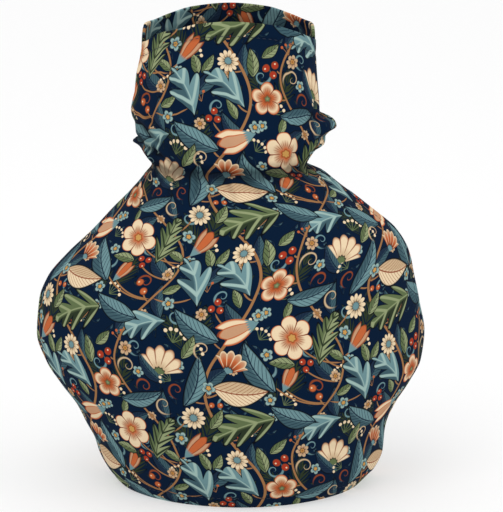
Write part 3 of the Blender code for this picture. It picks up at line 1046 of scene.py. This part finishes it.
class Cloth:
    """One panel of cloth as a grid: rows from the hem to the rim, columns from left to right as
    one looks at its outer face."""

    def __init__(self, side, looks):
        self.side = side
        angles = -FACING[side] * np.linspace(-SEAM_ANGLE, SEAM_ANGLE, COLUMNS + 1)
        self.height = row_heights(side, angles)
        self.angle = np.broadcast_to(angles, self.height.shape).copy()
        points = cloth_points(side, self.angle, self.height)
        self.measure(points)
        relief = self.gather_relief(looks) + self.crease_relief() + self.edge_relief(looks)
        points = points + self.normals * relief[..., None]
        hold_in_place(points, side)
        self.measure(points)

    def measure(self, points):
        """Takes the points as the outer face, and works out its normals, how far each point lies
        from the edges along the cloth, and its place in the print."""
        self.points = points
        self.normals = normals_of(points)
        self.up = lengths_along(points, 0)
        across = lengths_along(points, 1)
        self.from_left = across
        self.from_right = across[:, -1:] - across
        self.from_rim = self.up[-1:] - self.up
        self.across = across - across[:, COLUMNS // 2][:, None]
        level = np.argmin(np.abs(self.height[:, 0] - FULLEST_HEIGHT))
        self.print_up = self.up - self.up[level][None, :] + FULLEST_HEIGHT

    def gather_relief(self, looks):
        """Fine gathers between the main ones, close under and over the elastic."""
        random = np.random.default_rng(looks.seed + (0 if self.side == "front" else BACK_SEED))
        relief = np.zeros_like(self.angle)
        away = self.height - NECK_HEIGHT
        count = looks.fine_gathers
        for place in range(count):
            angle = FINE_SPAN * ((place + random.uniform(*FINE_PLACE)) / count - 0.5)
            above, below = random.uniform(*FINE_ABOVE), random.uniform(*FINE_BELOW)
            lean = random.uniform(*FINE_LEAN)
            width = random.uniform(*FINE_WIDTH)
            run = np.where(away > 0, above, below)
            fade = gather_profile(np.abs(away) / run) * bell(away, FINE_FADE * run)
            aside = self.angle - angle - lean * away
            ridge = bell(aside, width) - FINE_VALLEY * bell(aside, FINE_SPREAD * width)
            relief += random.uniform(*FINE_SHARE) * looks.fine_height / MM * fade * ridge
        return relief * (1 - bell(SEAM_ANGLE - np.abs(self.angle), FINE_SEAM_MARGIN))

    def crease_relief(self):
        """The soft creases of the table, each a straight ridge or groove that tapers off."""
        relief = np.zeros_like(self.angle)
        for crease in named_rows(CREASES, CREASE_COLUMNS):
            if crease["side"] != self.side:
                continue
            start = np.array((crease["angle"] * CREASE_SCALE, crease["height"]))
            along = np.array((crease["to_angle"] * CREASE_SCALE, crease["to_height"])) - start
            run = np.linalg.norm(along)
            along /= run
            x, z = self.angle * CREASE_SCALE - start[0], self.height - start[1]
            reach = x * along[0] + z * along[1]
            aside = x * along[1] - z * along[0]
            past = np.maximum(np.maximum(-reach, reach - run), 0.0)
            middle = np.sin(np.pi * np.clip(reach / run, 0, 1))
            taper = bell(past, CREASE_END) * (CREASE_AT_ENDS + (1 - CREASE_AT_ENDS) * middle)
            relief += crease["push"] * taper * bell(aside, crease["width"])
        return relief

    def edge_relief(self, looks):
        """Turned hems with a line of stitches, seams that dip between the panels, and slight
        unevenness of the cloth."""
        hem = looks.hem_width / MM
        relief = np.zeros_like(self.angle)
        for distance, swell, share, there in (
            (self.up, HEM_SWELL, HEM_SWELL_SHARE, 1.0),
            (self.from_rim, RIM_SWELL, RIM_SWELL_SHARE, 1.0),
            (self.from_side(), SIDE_SWELL, SIDE_SWELL_SHARE, self.open_side()),
        ):
            dent = STITCH_DENT * bell(distance - hem, STITCH_DENT_WIDTH)
            relief += (swell * bell(distance, hem * share) - dent) * there
        seam_dip = SEAM_DIP * self.beside_seam(SEAM_DIP_RUN)
        in_left_fold = np.where(self.angle < 0, fold_tightness(self.angle, self.height), 0.0)
        relief -= seam_dip * (1 - in_left_fold)
        for distance in (self.up, self.from_rim):
            relief += RIPPLE * puckers(self.across) * bell(distance - hem, RIPPLE_SPREAD)
        return relief + looks.unevenness / MM * slow_waves(self.across, self.up)

    def from_side(self):
        """How far each point lies from the nearer seam or open edge."""
        return np.minimum(self.from_left, self.from_right)

    def open_side(self):
        """1 at heights where the panel's edge on that side is open, 0 where it is sewn."""
        return np.clip(opening_gape(self.angle, self.height) / OPEN_GAPE, 0, 1)

    def beside_seam(self, run):
        """1 at a sewn seam, and less and less within a run of some mm from it."""
        return (1 - self.open_side()) * np.exp(-self.from_side() / run)

    def shade(self):
        """How much of the light reaches the cloth: less in folds and in the seams."""
        shade = np.ones_like(self.angle)
        inside = (self.up > HOLLOW_MARGIN) & (self.from_rim > HOLLOW_MARGIN)
        for hollow in named_rows(HOLLOWS, HOLLOW_COLUMNS):
            smooth = self.points
            for _ in range(hollow["rounds"]):
                padded = np.pad(smooth, ((1, 1), (1, 1), (0, 0)), mode="edge")
                beside = padded[1:-1, :-2] + padded[1:-1, 2:]
                smooth = (padded[:-2, 1:-1] + padded[2:, 1:-1] + beside) / 4
            sunk = ((smooth - self.points) * self.normals).sum(axis=-1)
            shade -= np.clip(sunk * hollow["share"], *HOLLOW_LIMITS) * inside
        shade -= SEAM_SHADE * self.beside_seam(SEAM_SHADE_RUN)
        angle, spread, height, rise = CRUMPLE
        shade -= CRUMPLE_SHADE * bell(self.angle - angle, spread) * bell(self.height - height, rise)
        return np.clip(shade, DARKEST, 1.0)

    def line(self, distance, wanted):
        """Points, and normals there, where a distance along each column equals wanted."""
        columns = [grid.swapaxes(0, 1) for grid in (self.points, self.normals)]
        return line_where(distance.T, wanted, *columns)

    def side_line(self, distance, wanted, lowest, highest):
        """The same along one open side edge, at a distance in from it."""
        rows = (self.height[:, 0] >= lowest) & (self.height[:, 0] <= highest)
        return line_where(distance[rows], wanted, self.points[rows], self.normals[rows])

    def edge_rings(self, inner, sheet, loop):
        """Rings of points that round the edge off from the outer face to the inner one."""
        outwards = np.zeros_like(self.points)
        outwards[0] += self.points[0] - self.points[1]
        outwards[-1] += self.points[-1] - self.points[-2]
        outwards[:, 0] += self.points[:, 0] - self.points[:, 1]
        outwards[:, -1] += self.points[:, -1] - self.points[:, -2]
        grids = (self.points, inner, outwards)
        outer_edge, inner_edge, away = (grid.reshape(-1, 3)[loop] for grid in grids)
        bulge = EDGE_BULGE * sheet.ravel()[loop][:, None]
        away *= bulge / np.linalg.norm(away, axis=-1, keepdims=True)
        rings = []
        for step in range(1, EDGE_STEPS + 1):
            turn = math.pi * step / (EDGE_STEPS + 1)
            share = (1 - math.cos(turn)) / 2
            ring = outer_edge * (1 - share) + inner_edge * share + away * math.sin(turn)
            hold_in_place(ring, self.side)
            rings.append(ring)
        return rings

    def mesh(self, name, thickness):
        """The closed sheet: the outer face, the inner face, and a rounded edge round both."""
        rows, columns = self.points.shape[:2]
        # Pressed thin in the tight folds, where its inner face would else cross itself.
        pressed = 1 + FOLD_PRESS * fold_tightness(self.angle, self.height)
        sheet = thickness / pressed * (1 - SEAM_THINNING * self.beside_seam(SEAM_THINNING_RUN))
        inner = self.points - self.normals * sheet[..., None]
        hold_in_place(inner, self.side)
        index = np.arange(rows * columns).reshape(rows, columns)
        loop = np.concatenate((index[0, :-1], index[:-1, -1], index[-1, :0:-1], index[:0:-1, 0]))
        rings = self.edge_rings(inner, sheet, loop)
        points = np.concatenate([self.points.reshape(-1, 3), inner.reshape(-1, 3), *rings])
        count = rows * columns
        a, b = index[:-1, :-1].ravel(), index[:-1, 1:].ravel()
        c, d = index[1:, 1:].ravel(), index[1:, :-1].ravel()
        faces = [np.stack((a, b, c, d), axis=-1), np.stack((d, c, b, a), axis=-1) + count]
        ring_ids = [2 * count + k * len(loop) + np.arange(len(loop)) for k in range(EDGE_STEPS)]
        ring_ids = [loop, *ring_ids, loop + count]
        for first, second in zip(ring_ids[:-1], ring_ids[1:]):
            corners = (np.roll(first, -1), first, second, np.roll(second, -1))
            faces.append(np.stack(corners, axis=-1))
        mesh = bpy.data.meshes.new(name)
        mesh.from_pydata((points * MM).tolist(), [], np.concatenate(faces).tolist())
        self.lay_out(mesh, loop)
        mesh.polygons.foreach_set("use_smooth", np.ones(len(mesh.polygons), dtype=bool))
        mesh.update()
        return mesh

    def lay_out(self, mesh, loop):
        """Gives the sheet its places in the print, and how much light reaches each point."""
        shift = BACK_PRINT_SHIFT if self.side == "back" else (0.0, 0.0)
        face_places = (np.stack((self.across, self.print_up), axis=-1) + shift).reshape(-1, 2)
        edge_places = [face_places[loop]] * EDGE_STEPS
        places = np.concatenate([face_places, face_places, *edge_places])
        layer = mesh.uv_layers.new(name="Print")
        corners = np.empty(len(mesh.loops), dtype=np.int32)
        mesh.loops.foreach_get("vertex_index", corners)
        layer.data.foreach_set("uv", (places[corners] * MM).ravel())
        outer_shade = self.shade().ravel()
        depth = np.minimum(np.minimum(self.up, self.from_rim), INNER_LIGHT_RUN).ravel()
        inner_shade = INNER_LIGHT - INNER_LIGHT_LOSS * depth / INNER_LIGHT_RUN
        shades = np.concatenate([outer_shade, inner_shade, *[outer_shade[loop]] * EDGE_STEPS])
        attribute = mesh.attributes.new("Shade", "FLOAT", "POINT")
        attribute.data.foreach_set("value", shades.astype(np.float32))

    def area(self):
        """Area of the outer face in square metres."""
        across = self.points[:-1, 1:] - self.points[:-1, :-1]
        up = self.points[1:, :-1] - self.points[:-1, :-1]
        return float(np.linalg.norm(np.cross(across, up), axis=-1).sum()) * MM * MM


# --- Materials ------------------------------------------------------------------------------

COTTON_ROUGHNESS = 0.9
COTTON_SHEEN = 0.06  # specular level
WEAVE_SCALE = 2.2  # threads' unevenness, in waves a mm
WEAVE_DETAIL = 1.0
WEAVE_STRENGTH = 0.25
WEAVE_HEIGHT = 0.00008
UNLIT = (0.002, 0.003, 0.006)  # what the print fades to where no light reaches it
THREAD_COLOUR = srgb(24, 34, 54)
THREAD_ROUGHNESS = 0.7


def printed_cotton(looks):
    """Cotton with the floral print, a fine weave and a soft nap."""
    material, tree = new_material("Printed cotton")
    place = tree.add("ShaderNodeUVMap", {"uv_map": "Print"})
    place = tree.vector("MULTIPLY_ADD", place, (1 / MM, 1 / MM, 0), (*looks.print_shift, 0))
    colour = lay_print(tree, place)
    light = tree.add("ShaderNodeAttribute", {"attribute_name": "Shade"}, None, "Fac")
    weave = {"Vector": place, "Scale": WEAVE_SCALE, "Detail": WEAVE_DETAIL}
    weave = tree.add("ShaderNodeTexNoise", {"noise_dimensions": "2D"}, weave, "Fac")
    relief = {"Height": weave, "Strength": WEAVE_STRENGTH, "Distance": WEAVE_HEIGHT}
    tree.surface({
        "Base Color": tree.mix(light, UNLIT, colour),
        "Roughness": COTTON_ROUGHNESS,
        "Specular IOR Level": COTTON_SHEEN,
        "Normal": tree.add("ShaderNodeBump", None, relief),
    })
    return material


def plain_material(name, colour, roughness, glow=0.0):
    material, tree = new_material(name)
    tree.surface({
        "Base Color": colour,
        "Roughness": roughness,
        "Emission Color": (1.0, 1.0, 1.0),
        "Emission Strength": glow,
    })
    return material


# --- Stitches -------------------------------------------------------------------------------


def stitch_group():
    """Geometry Nodes that put one small stitch at each step along a line."""
    group = bpy.data.node_groups.new("Row of stitches", "GeometryNodeTree")
    group.is_modifier = True
    sockets = group.interface
    sockets.new_socket("Geometry", in_out="INPUT", socket_type="NodeSocketGeometry")
    for name, default in (("Step", 0.003), ("Length", 0.0021), ("Thickness", 0.0004)):
        socket = sockets.new_socket(name, in_out="INPUT", socket_type="NodeSocketFloat")
        socket.subtype = "DISTANCE"
        socket.default_value = default
        socket.min_value = 0.0001
    sockets.new_socket("Thread", in_out="INPUT", socket_type="NodeSocketMaterial")
    sockets.new_socket("Geometry", in_out="OUTPUT", socket_type="NodeSocketGeometry")
    nodes, links = group.nodes, group.links

    def node(kind, **settings):
        made = nodes.new(kind)
        for name, value in settings.items():
            setattr(made, name, value)
        return made

    given, result = node("NodeGroupInput"), node("NodeGroupOutput")
    curve = node("GeometryNodeMeshToCurve")
    steps = node("GeometryNodeResampleCurve", mode="LENGTH")
    tangent = node("GeometryNodeInputTangent")
    aligned = node("FunctionNodeAlignRotationToVector", axis="X")
    ball = node("GeometryNodeMeshUVSphere")
    for name, value in (("Segments", 6), ("Rings", 4), ("Radius", 0.5)):
        ball.inputs[name].default_value = value
    size = node("ShaderNodeCombineXYZ")
    placed = node("GeometryNodeInstanceOnPoints")
    real = node("GeometryNodeRealizeInstances")
    smooth = node("GeometryNodeSetShadeSmooth")
    painted = node("GeometryNodeSetMaterial")
    for source, name, target, socket in (
        (given, "Geometry", curve, "Mesh"),
        (curve, "Curve", steps, "Curve"),
        (given, "Step", steps, "Length"),
        (tangent, "Tangent", aligned, "Vector"),
        (given, "Length", size, "X"),
        (given, "Thickness", size, "Y"),
        (given, "Thickness", size, "Z"),
        (steps, "Curve", placed, "Points"),
        (ball, "Mesh", placed, "Instance"),
        (aligned, "Rotation", placed, "Rotation"),
        (size, "Vector", placed, "Scale"),
        (placed, "Instances", real, "Geometry"),
        (real, "Geometry", smooth, "Geometry"),
        (smooth, "Geometry", painted, "Geometry"),
        (given, "Thread", painted, "Material"),
        (painted, "Geometry", result, "Geometry"),
    ):
        links.new(source.outputs[name], target.inputs[socket])
    return group


def line_mesh(name, lines):
    """A mesh of open lines, for the stitches to follow."""
    points, edges = [], []
    for line in lines:
        first = len(points)
        points += [tuple(point) for point in line * MM]
        edges += [(first + k, first + k + 1) for k in range(len(line) - 1)]
    mesh = bpy.data.meshes.new(name)
    mesh.from_pydata(points, edges, [])
    return mesh


def add_object(name, mesh, material=None):
    obj = bpy.data.objects.new(name, mesh)
    bpy.context.scene.collection.objects.link(obj)
    if material:
        mesh.materials.append(material)
    return obj


def make_plain(obj, group, values):
    """Runs a node group on obj once, and obj keeps what it makes as a plain mesh."""
    modifier = obj.modifiers.new(group.name, "NODES")
    modifier.node_group = group
    for item in group.interface.items_tree:
        if item.in_out == "INPUT" and item.name in values:
            modifier[item.identifier] = values[item.name]
    bpy.context.view_layer.update()
    shown = obj.evaluated_get(bpy.context.evaluated_depsgraph_get())
    mesh = bpy.data.meshes.new_from_object(shown)
    obj.modifiers.remove(modifier)
    lines = obj.data
    obj.data = mesh
    bpy.data.meshes.remove(lines)


# --- Settings, operators and panel ----------------------------------------------------------


def length_setting(name, description, default, lowest, highest):
    """A setting that is a length in metres."""
    return bpy.props.FloatProperty(
        name=name, description=description, default=default, min=lowest, max=highest,
        unit="LENGTH", subtype="DISTANCE",
    )


class CosySettings(bpy.types.PropertyGroup):
    """Everything of the cosy's looks that is worth changing."""

    thickness: length_setting("Cloth", "Thickness of the wadded cloth", 0.0017, 0.0008, 0.0024)
    fine_gathers: bpy.props.IntProperty(
        name="Fine gathers", description="Small gathers of each panel at the elastic",
        default=25, min=0, max=60,
    )
    fine_height: length_setting(
        "Fine height", "How high the small gathers stand", 0.0008, 0.0, 0.002
    )
    unevenness: length_setting(
        "Unevenness", "How far the wadding lets the cloth dip", 0.0003, 0.0, 0.001
    )
    hem_width: length_setting("Hem", "Width of the turned hems", 0.0065, 0.003, 0.015)
    stitch_step: length_setting("Stitch step", "From one stitch to the next", 0.003, 0.0015, 0.008)
    print_shift: bpy.props.FloatVectorProperty(
        name="Print shift", description="Where the print's repeat starts, in mm",
        default=(21.0, 17.0), size=2,
    )
    seed: bpy.props.IntProperty(
        name="Seed", description="Which small gathers are drawn", default=7, min=0
    )
    light: bpy.props.FloatProperty(
        name="Light", description="Strength of the soft box overhead",
        default=8.0, min=0.0, unit="POWER",
    )
    daylight: bpy.props.FloatProperty(
        name="Daylight", description="Brightness of the surroundings", default=1.0, min=0.0, max=3.0
    )


class CosyOperator:
    bl_options = {"REGISTER", "UNDO"}

    @classmethod
    def poll(cls, context):
        return context.mode == "OBJECT"


class COSY_OT_panels(CosyOperator, bpy.types.Operator):
    """Adds the front and back panels of printed cotton, with the stitches of their hems"""

    bl_idname = "cosy.add_panels"
    bl_label = "Add Panels"

    def execute(self, context):
        looks = context.scene.cosy
        cotton = printed_cotton(looks)
        thread = plain_material("Dark thread", THREAD_COLOUR, THREAD_ROUGHNESS)
        rows = stitch_group()
        hem = looks.hem_width / MM
        values = {
            "Step": looks.stitch_step,
            "Length": looks.stitch_step * STITCH_SHARE,
            "Thickness": THREAD_THICKNESS,
            "Thread": thread,
        }
        for side in ("front", "back"):
            cloth = Cloth(side, looks)
            mesh = cloth.mesh(f"{side}_cloth", looks.thickness / MM)
            panel = add_object(f"{side}_cloth", mesh, cotton)
            lines = [cloth.line(cloth.up, hem), cloth.line(cloth.from_rim, hem)]
            for from_edge in (cloth.from_left, cloth.from_right):
                lines.append(cloth.side_line(from_edge, hem, *STITCHED_HEIGHTS))
            lifted = [line + out * STITCH_LIFT for line, out in lines]
            stitches = add_object(f"{side}_stitches", line_mesh(f"{side}_stitches", lifted))
            make_plain(stitches, rows, values)
            for piece in (panel, stitches):
                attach(piece, "root")
            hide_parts(f"{side}_panel")
            cloth.area()
        return {"FINISHED"}


# The stage, in metres and degrees.
FLOOR_REACH = 4
FLOOR_COLOUR = (0.5, 0.5, 0.5)
FLOOR_ROUGHNESS = 0.9
FLOOR_GLOW = 0.43  # makes its shadows fainter
AIM = (0.01025, 0.0, 0.1136)
CAMERA_ELEVATION = 11.0
CAMERA_DISTANCE = 1.6
CAMERA_LENS = 225.0
CAMERA_SENSOR = 36.0
LIGHT_COLUMNS = ("name", "place", "size", "share")
LIGHTS = (
    ("Soft box", (-0.5, -1.1, 1.5), 1.2, 1.0),
    ("Fill", (1.2, -0.8, 0.6), 0.8, 0.3),
)


def aimed_object(name, data, place):
    """A lamp or a camera at a place, turned towards the middle of the cosy."""
    obj = add_object(name, data)
    obj.location = place
    obj.rotation_euler = (Vector(AIM) - Vector(place)).to_track_quat("-Z", "Y").to_euler()
    return obj


class COSY_OT_stage(CosyOperator, bpy.types.Operator):
    """Adds the pale floor, soft light and camera"""

    bl_idname = "cosy.add_stage"
    bl_label = "Add Stage"

    def execute(self, context):
        looks = context.scene.cosy
        floor_mesh = bpy.data.meshes.new("floor")
        far = FLOOR_REACH
        corners = [(-far, -far, 0), (far, -far, 0), (far, far, 0), (-far, far, 0)]
        floor_mesh.from_pydata(corners, [], [(0, 1, 2, 3)])
        pale = plain_material("Pale floor", FLOOR_COLOUR, FLOOR_ROUGHNESS, FLOOR_GLOW)
        floor = add_object("floor", floor_mesh, pale)
        world = context.scene.world or bpy.data.worlds.new("Daylight")
        context.scene.world = world
        world.use_nodes = True
        sky = world.node_tree.nodes["Background"]
        sky.inputs["Color"].default_value = (1, 1, 1, 1)
        sky.inputs["Strength"].default_value = looks.daylight
        for lamp in named_rows(LIGHTS, LIGHT_COLUMNS):
            data = bpy.data.lights.new(lamp["name"], "AREA")
            data.shape = "DISK"
            data.size = lamp["size"]
            data.energy = looks.light * lamp["share"]
            aimed_object(lamp["name"], data, lamp["place"])
        context.scene.view_settings.view_transform = "Standard"
        data = bpy.data.cameras.new("Camera")
        data.lens = CAMERA_LENS
        data.sensor_width = CAMERA_SENSOR
        tilt = math.radians(CAMERA_ELEVATION)
        away = Vector((0, -math.cos(tilt), math.sin(tilt))) * CAMERA_DISTANCE
        context.scene.camera = aimed_object("Camera", data, Vector(AIM) + away)
        return {"FINISHED"}


class COSY_PT_sidebar(bpy.types.Panel):
    """Settings of the cosy, and buttons that build it"""

    bl_label = "Tea Cosy"
    bl_idname = "COSY_PT_sidebar"
    bl_space_type = "VIEW_3D"
    bl_region_type = "UI"
    bl_category = "Tea Cosy"

    def draw(self, context):
        looks = context.scene.cosy
        column = self.layout.column()
        for name in CosySettings.__annotations__:
            column.prop(looks, name)
        for operator in OPERATORS:
            column.operator(operator.bl_idname)


OPERATORS = (COSY_OT_panels, COSY_OT_stage)
CLASSES = (CosySettings, *OPERATORS, COSY_PT_sidebar)


def register():
    for cls in CLASSES:
        bpy.utils.register_class(cls)
    bpy.types.Scene.cosy = bpy.props.PointerProperty(type=CosySettings)


def unregister():
    del bpy.types.Scene.cosy
    for cls in reversed(CLASSES):
        bpy.utils.unregister_class(cls)


def main():
    register()
    bpy.ops.cosy.add_panels()
    bpy.ops.cosy.add_stage()


if __name__ == "__main__":
    main()
